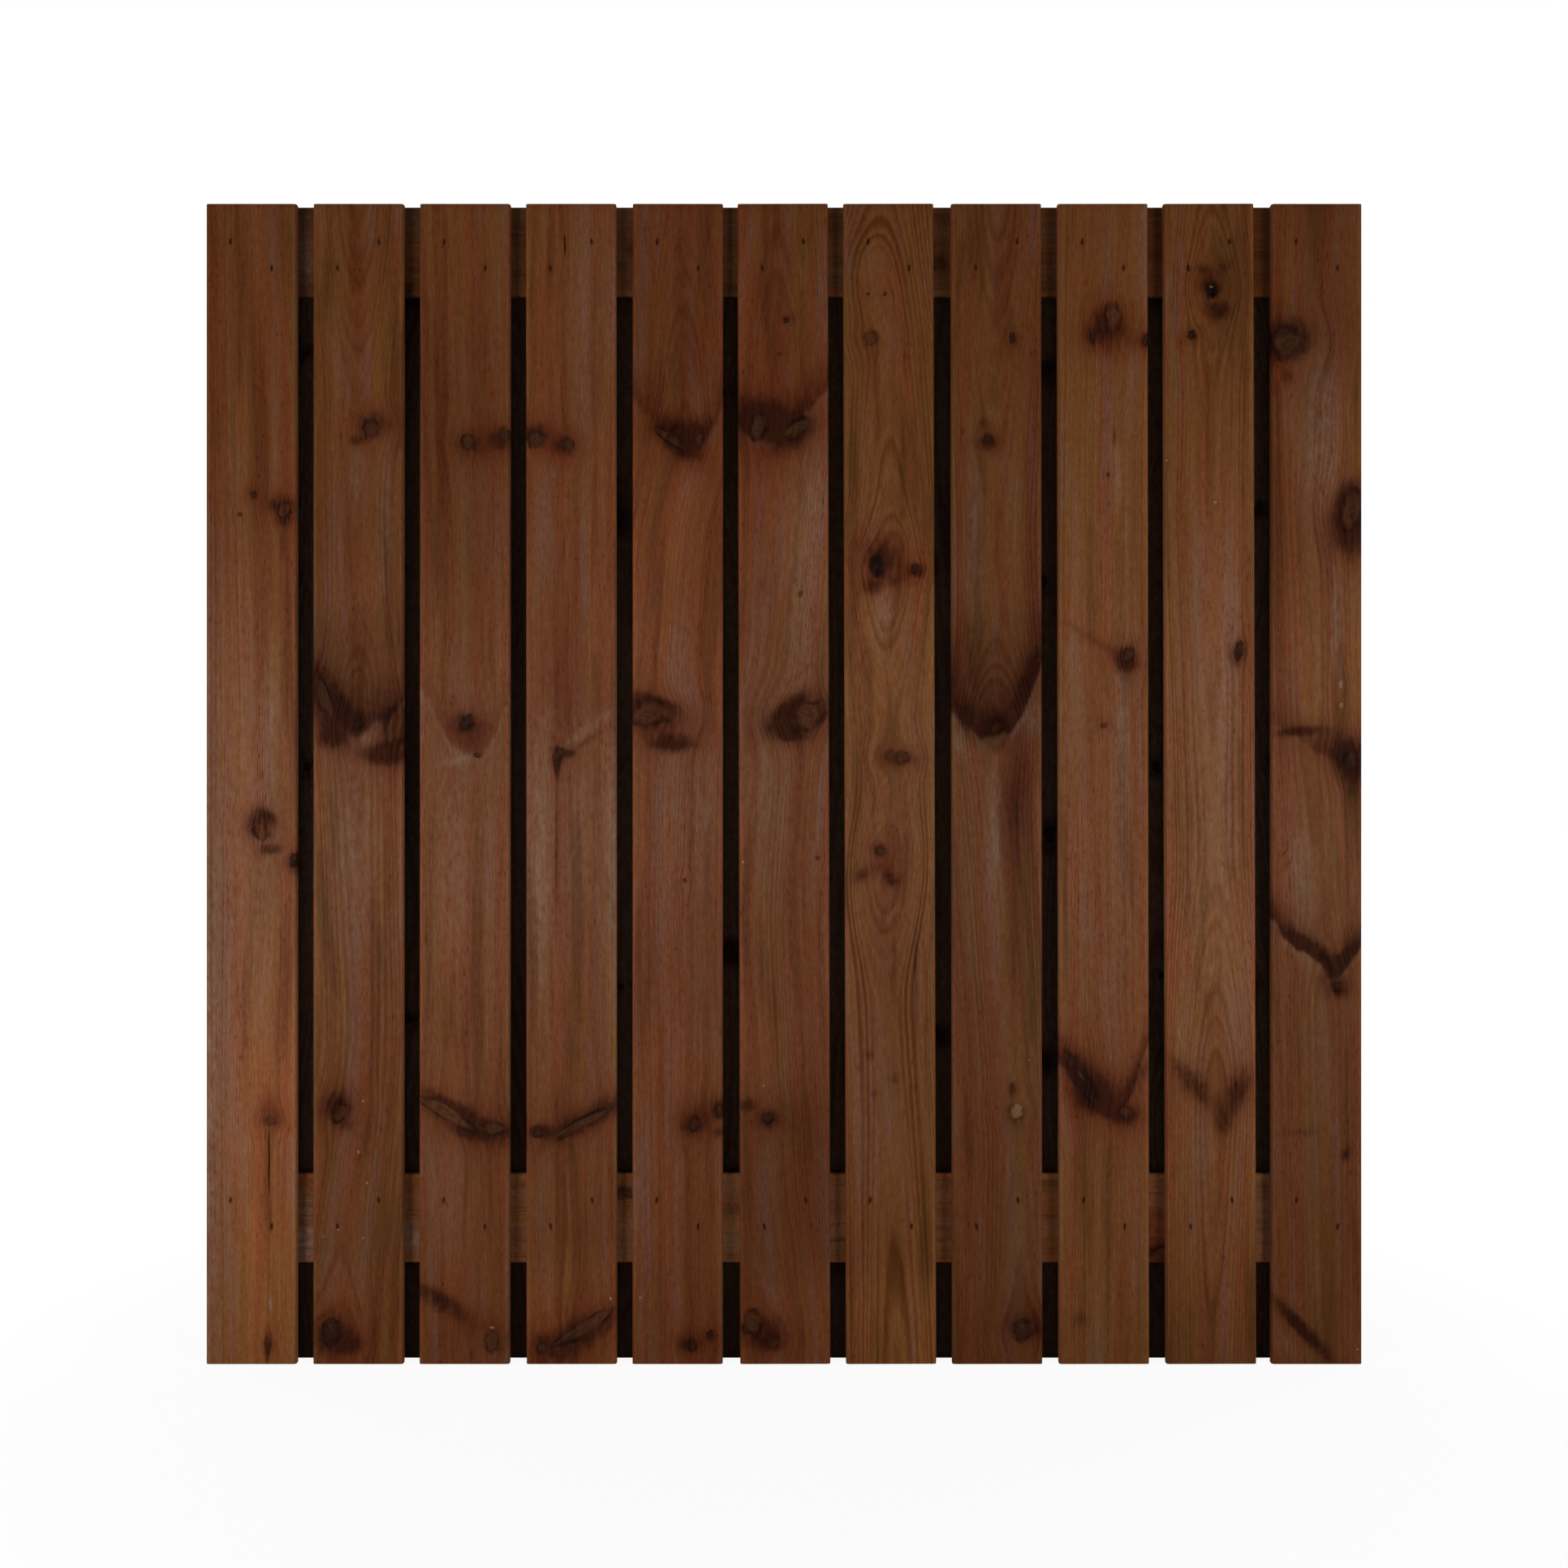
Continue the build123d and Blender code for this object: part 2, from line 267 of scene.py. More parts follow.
def make_plank(node, number, width, length, wood, place, detail, nails=(), faults=()):
    """Meshes one plank: its section is carried along its length and capped, good face to the front.
    place turns (across, depth, along) in millimetres into (x, y, z) of the panel."""
    face_step, row_step, back_steps = detail
    inner = width / 2 - EDGE_RADIUS
    face_spots = [(nail[0], *NAIL_ACROSS) for nail in nails]
    face_spots += [(fault.across, fault.width, max(fault.width / 8, 0.5)) for fault in faults]
    row_spots = [(nail[1], *NAIL_ALONG) for nail in nails]
    row_spots += [(fault.along, fault.length / 2, 2.0) for fault in faults]
    big_knots = [knot for knot in wood.knots if knot.length > SMALLEST_FINE_KNOT]
    row_spots += [(knot.along, knot.length / 2, max(knot.length / 6, 3.0)) for knot in big_knots]
    row_spots += [(cup.along + 45, *CUP_ALONG) for cup in wood.cups]
    across, depth = plank_profile(width, stations(-inner, inner, face_step, face_spots), back_steps)
    rows = stations(END_EASE, length - END_EASE, row_step, row_spots)
    eased = END_EASE * (1 - np.sqrt(0.5))
    rows = np.concatenate([[0, eased], rows, [length - eased, length]])
    inset = np.zeros_like(rows)
    inset[[0, -1]] = END_EASE
    inset[[1, -2]] = eased
    grid_across, grid_along = np.meshgrid(across, rows)
    grid_depth = np.tile(depth, (len(rows), 1))
    middle_depth = PLANK_THICKNESS / 2
    shrink_across = 1 - inset[:, None] / (width / 2)
    shrink_depth = 1 - inset[:, None] / middle_depth
    fade = np.clip(1 - grid_depth / EDGE_RADIUS, 0, 1)
    sunk = relief(grid_across, grid_along, nails, faults) * fade
    growth = growth_place(wood, grid_across, grid_depth, grid_along, number)
    inner_face = np.clip((grid_depth - middle_depth) / 5, 0, 1)
    marks = [Stain(across_nail, along_nail, *NAIL_MARK_SIZE, 15 * np.sin(3 * along_nail + across_nail), 1.3)
             for across_nail, along_nail in nails]
    stain = stain_and_sheen_at(wood._replace(stains=[*wood.stains, *marks]), grid_across, grid_along)
    # Painted sheen, greyest a little below the middle of each plank
    from_painted_sheen_middle = (grid_along / length - PAINTED_LIGHT_MIDDLE) / PAINTED_SHEEN_REACH
    # Painted grey shade on the inner face goes into the pale channel with the painted sheen
    stain[..., 2] += INNER_PAINTED_GREY_SHADE * inner_face + MIDDLE_PAINTED_SHEEN * np.exp(-(from_painted_sheen_middle**2))
    solid_depth = middle_depth + (grid_depth - middle_depth) * shrink_depth + sunk
    points = place(grid_across * shrink_across, solid_depth, grid_along)
    row_count, column_count = grid_across.shape
    index = np.arange(row_count * column_count).reshape(row_count, column_count)
    after = np.roll(index, -1, axis=1)
    quads = np.stack([index[:-1], after[:-1], after[1:], index[1:]], axis=-1).reshape(-1, 4)
    faces = quads.tolist() + [index[0, ::-1].tolist(), index[-1].tolist()]
    mesh = bpy.data.meshes.new(node + "_wood")
    mesh.from_pydata(points.reshape(-1, 3) * MM, [], faces)
    corner_points = np.concatenate([quads.ravel(), index[0, ::-1], index[-1]])
    middles = np.concatenate([np.arange(len(quads)).repeat(4), np.full(2 * column_count, -1)])
    flat_across = grid_across.ravel()
    flat_along = grid_along.ravel()
    quad_across = np.append(flat_across[quads].mean(axis=1), 0)
    quad_along = np.append(flat_along[quads].mean(axis=1), 0)
    ends = np.full(2 * column_count, True)
    ends[column_count:] = False
    quad_along_corner = quad_along[middles]
    quad_along_corner[middles < 0] = np.where(ends, 0, length)
    knot_place, knot_kind = nearest_knot(
        wood, flat_across[corner_points], flat_along[corner_points], quad_across[middles], quad_along_corner)
    tone = np.tile([wood.tone, wood.warmth, wood.contrast], (len(flat_across), 1))
    # Painted shade towards the ends and a painted highlight along the long edges, put into the plank's tone
    tone[:, 0] = brightness_at(wood, flat_across, flat_along, length)
    # Painted shade on the inner face
    tone[:, 0] *= 1 - INNER_PAINTED_SHADE * inner_face.ravel()
    for title, domain, values in (
        ("growth", "POINT", growth),
        ("stain", "POINT", stain),
        ("tone", "POINT", tone),
        ("knot", "CORNER", knot_place),
        ("knot_kind", "CORNER", knot_kind),
    ):
        layer = mesh.attributes.new(title, "FLOAT_VECTOR", domain)
        layer.data.foreach_set("vector", values.reshape(-1).astype(np.float32))
    mesh.shade_smooth()
    mesh.materials.append(pine)
    plank = bpy.data.objects.new(node + "_wood", mesh)
    bpy.context.scene.collection.objects.link(plank)
    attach(plank, "root")
    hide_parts(node)


class Wire:
    """A socket of a material with arithmetic, so that 1 - wire * 2 adds its own Math nodes."""

    def __init__(self, finish, socket):
        self.finish = finish
        self.socket = socket

    def maths(self, operation, first, second=0.0):
        return self.finish.add("Math", {"Value": first, "Value_001": second}, operation=operation)

    def __add__(self, other):
        return self.maths("ADD", self, other)

    def __radd__(self, other):
        return self.maths("ADD", other, self)

    def __sub__(self, other):
        return self.maths("SUBTRACT", self, other)

    def __rsub__(self, other):
        return self.maths("SUBTRACT", other, self)

    def __mul__(self, other):
        return self.maths("MULTIPLY", self, other)

    def __rmul__(self, other):
        return self.maths("MULTIPLY", other, self)

    def __pow__(self, other):
        return self.maths("POWER", self, other)


class Finish:
    """A material or world, and the one way to add a node to it: the node's type, its sockets' values
    or wires, and its settings."""

    def __init__(self, owner):
        owner.use_nodes = True
        self.tree = owner.node_tree
        self.tree.nodes.clear()

    def add(self, kind, inputs=None, output=0, **settings):
        node = self.tree.nodes.new("ShaderNode" + kind)
        for setting, value in settings.items():
            if setting == "stops":
                ramp = node.color_ramp.elements
                while len(ramp) < len(value):
                    ramp.new(0.5)
                for stop, (position, color) in zip(ramp, value):
                    stop.position = position
                    stop.color = color
            else:
                setattr(node, setting, value)
        for key, value in (inputs or {}).items():
            socket = next(s for s in node.inputs if key in (s.identifier, s.name))
            if isinstance(value, Wire):
                self.tree.links.new(value.socket, socket)
            else:
                socket.default_value = value
        if isinstance(output, str):
            return Wire(self, next(s for s in node.outputs if output in (s.identifier, s.name)))
        return Wire(self, node.outputs[output]) if len(node.outputs) else node

    def mix(self, amount, first, second, blend="MIX"):
        inputs = {"Factor_Float": amount, "A_Color": first, "B_Color": second}
        return self.add("Mix", inputs, "Result_Color", data_type="RGBA", blend_type=blend, clamp_factor=True)

    def step(self, value, low, high):
        """Rises from 0 at low to 1 at high along a smooth curve."""
        inputs = {"Value": value, "From Min": low, "From Max": high}
        return self.add("MapRange", inputs, interpolation_type="SMOOTHSTEP")

    def noise(self, vector, scale, detail=2.0, roughness=0.5):
        inputs = {"Vector": vector, "Scale": scale, "Detail": detail, "Roughness": roughness}
        return self.add("TexNoise", inputs, "Fac")

    def split(self, name):
        """The three parts of a named attribute of the mesh."""
        vector = self.add("Attribute", None, "Vector", attribute_name=name)
        parts = [self.add("SeparateXYZ", {"Vector": vector}, axis) for axis in "XYZ"]
        return parts

    def join(self, x, y, z):
        return self.add("CombineXYZ", {"X": x, "Y": y, "Z": z})


def srgb(red, green, blue):
    """A colour as it looks on a screen, 0 to 255, turned into the light that Blender works in."""
    values = np.array([red, green, blue]) / 255
    linear = np.where(values <= 0.04045, values / 12.92, ((values + 0.055) / 1.055) ** 2.4)
    return (*linear.tolist(), 1.0)


def stained_pine(name):
    """Pine soaked in brown preservative: the lines of the years' growth, fibres, stains, painted sheen and
    knots.
    A knot with a heart below 0 is pale: mostly a drop of dry resin, and at board 10's knot hole a painted
    highlight."""
    material = bpy.data.materials.new(name)
    finish = Finish(material)
    years_across, years_deep, along = finish.split("growth")
    knot_u, knot_v, knot_number = finish.split("knot")
    heart, halo, _ = finish.split("knot_kind")
    dark, red, pale = finish.split("stain")
    brightness, warmth, contrast = finish.split("tone")
    place = finish.add("TexCoord", None, "Object")

    def stretched(by):
        """The place on the panel, with each of its parts multiplied."""
        return finish.add("VectorMath", {"Vector": place, "Vector_001": by}, operation="MULTIPLY")

    def grown(across_by, along_by, along_from=0.0):
        """The place in the tree, stretched differently across its growth and along it."""
        return finish.join(years_across * across_by, years_deep * across_by, along * along_by + along_from)

    sway = finish.noise(grown(0.15, 0.6), 1.0, 2.0) - 0.5
    across = years_across + sway * 1.2
    years = (across * across + years_deep * years_deep) ** 0.5
    season = finish.noise(finish.join(years * 0.45, 9.0, along * 0.1), 1.0, 2.0)
    part = finish.add("Math", {"Value": years + season * 2.0}, operation="FRACT")
    year = ((0.0, 0.3), (0.22, 0.0), (0.7, 0.9), (0.85, 1.0), (1.0, 0.3))
    stops = [(position, (darkness, darkness, darkness, 1)) for position, darkness in year]
    line = finish.add("ValToRGB", {"Fac": part}, "Color", stops=stops)
    line = finish.add("SeparateColor", {"Color": line}, "Red")
    fibre = finish.noise(grown(0.9, 0.5), 1.6, 4.0, 0.7)
    strength = (0.2 + 1.2 * finish.step(season, 0.35, 0.65)) * (0.3 + 1.3 * fibre)
    line = line * strength * contrast * (1 + 0.9 * dark)
    streak = finish.noise(grown(0.13, 0.22), 1.0, 3.0, 0.6)
    hue = finish.noise(grown(0.1, 0.15, 5.0), 1.0, 2.0)
    tint = finish.noise(grown(0.16, 0.14, 8.0), 1.0, 3.0, 0.5)
    feather = 0.5 + 2.0 * (finish.noise(stretched((120.0, 120.0, 55.0)), 1.0, 4.0, 0.6) - 0.5)

    yellow_wood = srgb(112, 71, 36)
    red_wood = srgb(113, 61, 33)
    grey_wood_and_sheen = srgb(111, 83, 71)
    wood = finish.mix(finish.step(tint + 0.5 * warmth, 0.34, 0.66), yellow_wood, red_wood)
    # Grey streaks: partly greyish wood, partly a painted sheen
    wood = finish.mix((0.42 + 0.3 * warmth) * finish.step(streak, 0.5, 0.7), wood, grey_wood_and_sheen)
    red_stain = srgb(96, 43, 20)
    pale_wood_and_painted_sheen = srgb(131, 102, 84)
    brown_stain = srgb(66, 32, 18)
    black_stain = srgb(46, 21, 12)
    wood = finish.mix(red * (0.5 + 0.8 * feather), wood, red_stain)
    # Pale mix: mostly painted sheen, with painted light in the outer gaps, painted grey shade on inner
    # faces, and partly pale wood
    wood = finish.mix(pale * (0.3 + 1.5 * feather), wood, pale_wood_and_painted_sheen)
    wood = finish.mix(0.6 * finish.step(dark, 0.0, 0.9), wood, brown_stain)
    black_part = finish.step(dark * (0.45 + 0.9 * feather), 0.15, 0.85)
    wood = finish.mix(0.8 * black_part, wood, black_stain)

    knot_place = finish.join(knot_u, knot_v, knot_number)
    tatters = finish.add("TexNoise", {
        "Vector": knot_place, "Scale": 1.1, "Detail": 1.2, "Roughness": 0.5}, "Color")
    tatter_u, tatter_v, gaps = [finish.add("SeparateXYZ", {"Vector": tatters}, axis) for axis in "XYZ"]
    ragged_u = knot_u + (tatter_u - 0.5) * 1.1
    ragged_v = knot_v + (tatter_v - 0.5) * 1.1
    knot_distance = (ragged_u * ragged_u + ragged_v * ragged_v) ** 0.5
    core = 1 - finish.step(knot_distance, 0.72, 0.95)
    rim = finish.step(knot_distance, 0.55, 0.85) * (1 - finish.step(knot_distance, 0.88, 1.2))
    rim = rim * (0.1 + 0.9 * finish.step(gaps, 0.4, 0.6))
    knot_rings = finish.add("Math", {"Value": knot_distance * 10.0}, operation="SINE") * 0.5 + 0.5
    knot_wood = finish.mix(knot_rings * 0.6, srgb(88, 52, 31), srgb(60, 33, 21))
    black_heart = srgb(28, 17, 13)
    pith = srgb(112, 78, 54)
    dry_resin_and_highlight = srgb(158, 124, 92)
    black_rim = srgb(31, 14, 8)
    knot_wood = finish.mix(heart * (0.6 + 0.8 * gaps), knot_wood, black_heart)
    knot_wood = finish.mix(0.25 * (1 - finish.step(knot_distance, 0.08, 0.22)), knot_wood, pith)
    knot_wood = finish.mix(1 - finish.step(heart, -1.0, -0.2), knot_wood, dry_resin_and_highlight)
    wood = finish.mix(core * 0.9, wood, knot_wood)
    wood = finish.mix(rim * (0.25 + 0.7 * halo), wood, black_rim)

    fleck_and_sheen = finish.noise(stretched((420.0, 420.0, 95.0)), 1.0, 1.0)
    specks = finish.step(fleck_and_sheen, 0.66, 0.76) * finish.step(tint, 0.45, 0.65)
    shade = brightness * (0.68 + 0.64 * fibre) * (0.78 + 0.44 * hue) * (1 - 0.4 * specks)
    shade = shade * (1 - 0.3 * (1 - finish.step(streak, 0.32, 0.5)))
    # The fleck noise also varies blue and green more than red: a fine painted sheen over the fibres
    lined = [shade * (1 - share * line) * (1 + depth * (0.5 - fleck_and_sheen))
             for share, depth in ((0.22, 0.4), (0.3, 0.8), (0.34, 1.2))]
    wood = finish.mix(1.0, wood, finish.join(*lined), "MULTIPLY")

    bump = finish.add("Bump", {"Strength": 0.4, "Distance": 0.0006, "Height": fibre * 0.6 - line * 0.4})
    rough = 0.5 + 0.18 * fibre + 0.1 * line
    skin = finish.add("BsdfPrincipled", {
        "Base Color": wood, "Roughness": rough, "Normal": bump, "Specular IOR Level": 0.02})
    finish.add("OutputMaterial", {"Surface": skin})
    return material


pine = stained_pine("stained_pine")


def grown_wood(seed, length, tone, warmth, contrast, seen_stains_and_light=()):
    """Wood of a plank that the photograph hardly shows: the heart line, knots in whorls and streaks
    are drawn from a seeded generator, so they are the same each time. The stains and the painted light seen
    are added."""
    rng = np.random.default_rng(seed)
    stops = np.linspace(0, length, 6)
    middle = rng.uniform(-25, 25)
    heart_line = [(stop, middle + rng.uniform(-9, 9), rng.uniform(12, 55)) for stop in stops]
    knots = []
    stains = []
    whorl = rng.uniform(120, 320)
    while whorl < length - 80:
        for _ in range(rng.integers(1, 4)):
            across = rng.uniform(-60, 60)
            along = whorl + rng.uniform(-28, 28)
            width = rng.uniform(9, 26)
            knots.append(Knot(across, along, width, width * rng.uniform(1.0, 1.6), rng.uniform(-25, 25),
                              rng.uniform(0.2, 0.9), rng.uniform(0.4, 0.9)))
            stains.append(Stain(across, along - width, 1.6 * width, 1.2 * width, 0, 0.5, 0.2, 0))
        whorl += rng.uniform(300, 460)
    for _ in range(5):
        stains.append(Stain(
            rng.uniform(-60, 60), rng.uniform(0, length), rng.uniform(16, 30), rng.uniform(200, 500), 0,
            rng.uniform(-0.1, 0.3), rng.uniform(0, 0.4), rng.uniform(0, 0.2)))
    return Wood(heart_line, rng.uniform(3.0, 4.5), tone, warmth, contrast, knots, stains + list(seen_stains_and_light))


RAIL_DETAIL = (7.0, 14.0, 16)
# The pale and dark spots that the photograph shows on the rails, in the gaps between the front boards
# The pale spots in it are painted light falling past the boards into the outer gaps, and the small dark spot
# is a stain
GAP_STAINS_AND_PAINTED_LIGHT = {
    "bottom_rail": [
        Stain(40, 152, 44, 34, 0, 0, 0, 1.6), Stain(-10, 150, 60, 22, 0, 0, 0, 0.6),
        Stain(0, 1645, 140, 30, 0, 0, 0, 0.3), Stain(30, 318, 50, 26, 0, 0, 0, 0.7),
        Stain(14, 318, 8, 30, 0, 0.9)],
    "top_rail": [Stain(20, 150, 100, 36, 0, 0, 0, 0.5)]}
# The top rail is given a much darker tone than the bottom one: partly its own colour, partly painted shade,
# as less light reaches the top
for name, seed, brightness in (("bottom_rail", 41, 1.12), ("top_rail", 42, 0.62)):
    middle_height = RAIL_FOOT[name] + RAIL_WIDTH / 2
    make_plank(
        name, seed, RAIL_WIDTH, 2 * PANEL_HALF_WIDTH,
        grown_wood(seed, 2 * PANEL_HALF_WIDTH, brightness, 0.0, 0.8, GAP_STAINS_AND_PAINTED_LIGHT[name]),
        lambda across, depth, along: np.stack(
            [along - PANEL_HALF_WIDTH, depth - PLANK_THICKNESS / 2, middle_height - across], axis=-1),
        RAIL_DETAIL)

# The eleven front boards. Planed pine, 140 x 15 mm and 1800 mm long, with rounded long edges.
# Each is nailed by hand to the rails, two nails to a crossing, so some lean by a few millimetres.
BOARD_WIDTH = 140.0
BOARD_LENGTH = 1800.0
BOARD_GAP = 25.3
BOARD_PITCH = BOARD_WIDTH + BOARD_GAP
FRONT_BOARD_COUNT = 11
FRONT_FACE_Y = -1.5 * PLANK_THICKNESS
NAIL_SPREAD = 64.0
NAIL_RISE = 41.0
NAIL_LINES = (RAIL_FOOT["top_rail"] + 61.0, RAIL_FOOT["bottom_rail"] + 81.0)
FRONT_DETAIL = (4.0, 10.0, 5)


def nails_of(number):
    """(across, along) of one board's nails: odd boards have the upper nail on the left."""
    side = -1 if number % 2 else 1
    return [
        (side * level * NAIL_SPREAD / 2, line + level * NAIL_RISE / 2)
        for line in NAIL_LINES for level in (1, -1)]


def front_board(number, top_drift, foot_drift, wood, faults=()):
    """Lays one front board, leaning from its foot's drift to its top's drift off the even spacing."""
    middle = (number - (FRONT_BOARD_COUNT + 1) / 2) * BOARD_PITCH
    lean = np.arctan2(top_drift - foot_drift, BOARD_LENGTH)
    lift = BOARD_WIDTH / 2 * abs(np.sin(lean))

    def place(across, depth, along):
        x = middle + foot_drift + across * np.cos(lean) + along * np.sin(lean)
        z = lift + along * np.cos(lean) - across * np.sin(lean)
        return np.stack([x, FRONT_FACE_Y + depth, z], axis=-1)

    node = f"front_board_{number:02d}"
    make_plank(node, number, BOARD_WIDTH, BOARD_LENGTH,
               wood, place, FRONT_DETAIL, nails_of(number), faults)


# Front board 1, the lightest: greyish along its left edge, with a long drying check below a red knot
front_board(1, 0, 0, Wood(
    heart_line=[(0, -90, 30), (500, -85, 40), (900, -75, 45), (1800, -95, 35)],
    ring=3.4, tone=1.06, warmth=0.05, contrast=0.8,
    knots=[
        Knot(5, 1348, 11, 13, 0, 0.6, 0.4), Knot(-18, 1318, 8, 9, 0, 0.6, 0.2),
        Knot(51, 1325, 24, 25, 0, 0.2, 0.8), Knot(14, 827, 24, 34, -30, 0.05, 0.7),
        Knot(68, 784, 20, 25, 0, 0.9, 0.8), Knot(30, 378, 22, 15, 0, 0.3, 0.3),
        Knot(25, 35, 12, 16, 0, 0.5, 0.3)],
    stains=[
        Stain(16, 832, 66, 70, 0, 0.1, 0.4), Stain(52, 1307, 35, 20), Stain(24, 852, 38, 15, 30, 0.7),
        Stain(30, 798, 43, 18, -10, 0.7), Stain(14, 729, 28, 18, 0, 0.2, 0.6),
        Stain(29, 393, 42, 56, 0, 0.35, 0.9), Stain(30, 228, 8, 70, 0, 0.4, 0.5), Stain(25, 14, 8, 33),
        Stain(29, 999, 25, 189, 0, 0, 0, 0.35), Stain(-10, 800, 90, 700, 0, 0, 0, 0.15),
        Stain(-59, 933, 35, 428, 0, 0.25, 0, 0.1), Stain(-62, 400, 34, 1100, 0, 0.1, 0, 0.5),
        Stain(45, 329, 50, 327, 0, 0, 0.4), Stain(26, 34, 18, 60, 0, 0.4, 0.4),
        Stain(30, 97, 5, 28, 0, 0, 0, 0.7), Stain(50, 1275, 14, 70, 0, 0.5, 0.1),
        Stain(65, 1000, 14, 400, 0, 0.3, 0.3)],
    patches=[
        Patch(0, 1500, 300, 700, -0.13), Patch(10, 230, 300, 760, 0.5), Patch(-66, 1350, 30, 900, -0.15),
        Patch(-70, 350, 60, 1000, -0.3)]),
    faults=[Fault(28, 314, 2.6, 104, 4.8)])

# Front board 2: nested tongues of grain at the top, a whorl of big knots halfway down
front_board(2, 1.0, 0.5, Wood(
    heart_line=[
        (0, -38, 42), (60, -36, 45), (130, -30, 58), (500, 10, 66), (940, -3, 62), (1010, -1, 52),
        (1140, 0, 72), (1300, -5, 74), (1510, -1, 72), (1800, 0, 48)],
    ring=4.0, tone=0.93, warmth=0.0, contrast=0.8,
    knots=[
        Knot(21, 1450, 28, 30, 0, 0.5, 0.8), Knot(-55, 1036, 24, 90, -20, 0.35, 0.9),
        Knot(-1, 993, 19, 21, 0, 0.8, 0.7), Knot(58, 996, 38, 70, 12, 0.15, 0.8),
        Knot(-29, 392, 26, 36, 0, 0.35, 0.9), Knot(-42, 53, 36, 48, 0, 0.75, 0.9),
        Knot(-41, 56, 14, 5, -15, -1, 0), Knot(8, 408, 4, 4, 0, -1, 0), Knot(0, 329, 4, 8, 0, -1, 0),
        Knot(14, 281, 4, 6, 0, -1, 0), Knot(8, 196, 4, 4, 0, -1, 0), Knot(-31, 209, 3, 4, 0, -1, 0),
        Knot(-54, 198, 3, 4, 0, -1, 0)],
    stains=[
        Stain(-1, 1432, 38, 18, 0, 0.6), Stain(-59, 1285, 18, 315, 0, 0, 0.5),
        Stain(44, 1310, 23, 252, 0, 0.1, 0, 0.3), Stain(-44, 972, 42, 34, 0, 0.8),
        Stain(36, 946, 64, 30, 0, 1.0), Stain(-12, 32, 50, 34, 0, 0.5, 0.7),
        Stain(-20, 370, 34, 22, 0, 0.4, 0.3), Stain(-25, 1020, 22, 60, -30, 0.8),
        Stain(0, 1640, 30, 260, 0, 0, 0.45), Stain(52, 1650, 28, 300, 0, 0.3),
        Stain(-10, 800, 70, 320, 0, 0, 0, 0.3), Stain(48, 560, 30, 500, 0, 0.2),
        Stain(-20, 250, 60, 260, 0, 0, 0.15), Stain(-2, 1375, 30, 90, 0, 0, 0, 0.3),
        Stain(22, 970, 36, 60, 0, 0, 0, 0.22)],
    patches=[
        Patch(0, 1085, 280, 190, -0.3), Patch(0, 1300, 300, 260, -0.12), Patch(0, 50, 300, 200, 0.15)],
    cups=[Cup(-1, 982, 60, 50, 1.3, 90, 0.35, 0.3, 0.1)]))

# Front board 3: straight fine grain, one round black knot and a spike knot sawn lengthwise
front_board(3, 1.0, 0.0, Wood(
    heart_line=[(0, -100, 40), (800, -95, 45), (960, -85, 60), (1060, -90, 42), (1800, -100, 30)],
    ring=3.2, tone=0.94, warmth=0.05, contrast=-0.5,
    knots=[
        Knot(5, 1431, 22, 24, 0, 0.4, 0.8), Knot(60, 1442, 21, 25, 0, 0.6, 0.8),
        Knot(4, 996, 24, 25, 0, 0.9, 0.7), Knot(20, 945, 12, 10, 0, 0.5, 0.4),
        Knot(-30, 391, 24, 112, -62, 0.1, 0.7), Knot(46, 366, 46, 20, 0, 0.3, 0.7),
        Knot(43, 36, 28, 36, 0, 0.05, 0.45), Knot(43, 57, 8, 4, 0, -1, 0)],
    stains=[
        Stain(0, 900, 300, 2600, 0, 0, 0.25), Stain(14, 1159, 18, 38, 0, 0.2),
        Stain(10, 974, 56, 56, 0, 0.25, 1.0), Stain(-10, 938, 70, 16, -14, 0, 0, 0.3),
        Stain(-36, 98, 36, 116, -60, 0.85, 0.3), Stain(-20, 402, 12, 110, -62, 0.5, 0.4),
        Stain(-10, 372, 16, 110, -62, 0, 0.7), Stain(12, 13, 13, 18), Stain(20, 1560, 34, 420, 0, 0, 0.4),
        Stain(-45, 1560, 30, 420, 0, 0.15), Stain(40, 1240, 20, 340, 0, 0, 0.35),
        Stain(-15, 760, 50, 220, 0, 0, 0, 0.2), Stain(-20, 250, 60, 200, 0, 0, 0, 0.15),
        Stain(10, 60, 70, 60, 0, 0.1, 0.4)],
    patches=[Patch(-20, 1400, 220, 480, -0.24)],
    cups=[Cup(14, 948, 84, 140, 1.8, 50, 0.2, 0.4, 0.18)]))

